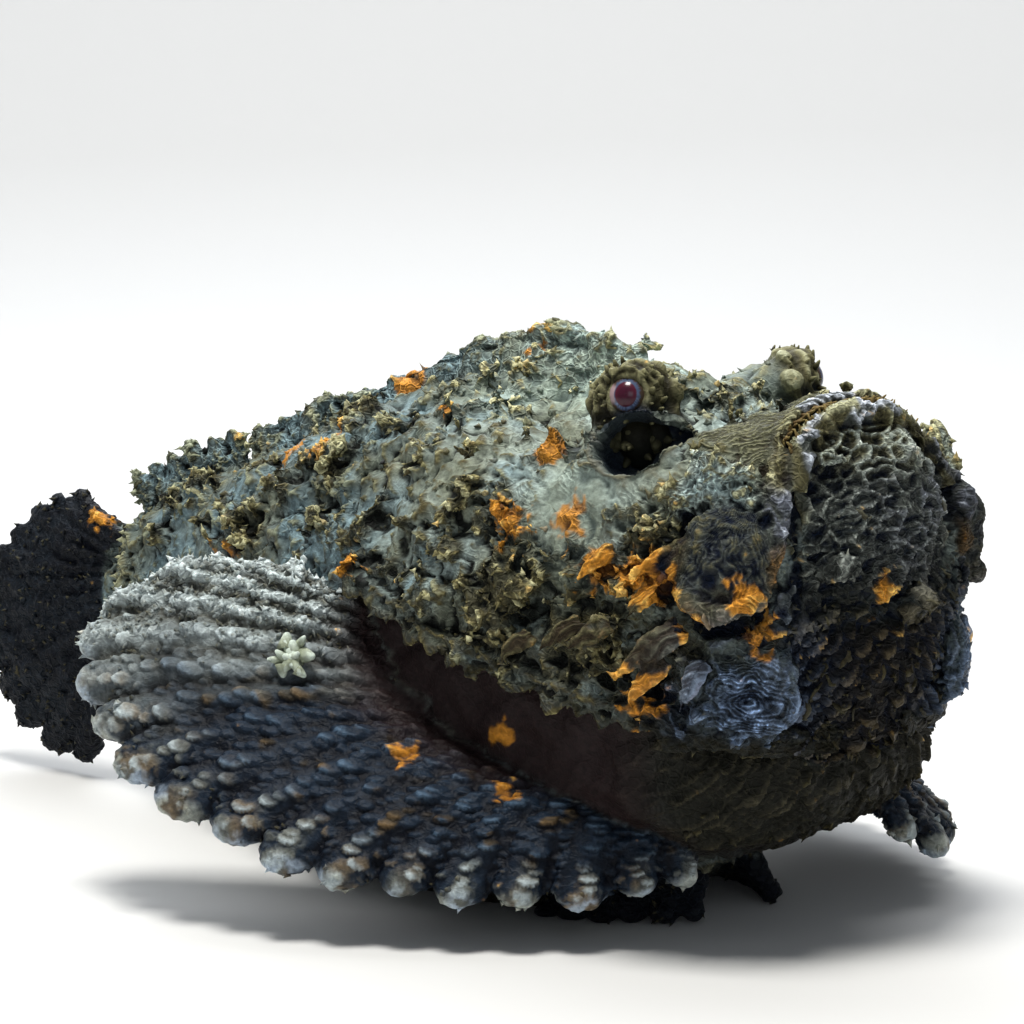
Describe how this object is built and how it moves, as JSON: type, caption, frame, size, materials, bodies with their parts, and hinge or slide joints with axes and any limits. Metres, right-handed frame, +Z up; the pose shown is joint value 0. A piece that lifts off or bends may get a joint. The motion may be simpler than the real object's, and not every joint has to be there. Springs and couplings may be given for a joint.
{
  "type": "stonefish",
  "caption": "Life-size still model of a warty stonefish lying on its belly, head raised, mouth turned up, and the broad fleshy breast fins spread to each side.",
  "frame": {"origin": "bottom centre of the model's box, on the floor it lies on", "axes": "+X toward the mouth, +Y toward the fish's left side, +Z up"},
  "size_m": [0.2834, 0.1724, 0.1193],
  "materials": {
    "skin": "rough, warty, mottled olive and brown skin with blue-grey hollows and orange patches",
    "fin": "thick, ridged fin skin, blue-grey and brown with paler tips",
    "eye": "wet, dark red-brown eye"
  },
  "bodies": {
    "root": {"head": "skin", "lower_jaw": "skin", "gill_cover_left": "skin", "gill_cover_right": "skin", "trunk": "skin", "tail": "skin", "dorsal_fin_spines": "skin", "dorsal_fin_soft": "fin", "anal_fin": "fin", "caudal_fin": "fin", "pectoral_fin_left": "fin", "pectoral_fin_right": "fin", "pelvic_fin_left": "fin", "pelvic_fin_right": "fin", "eye_left": "eye", "eye_right": "eye"}
  },
  "joints": []
}
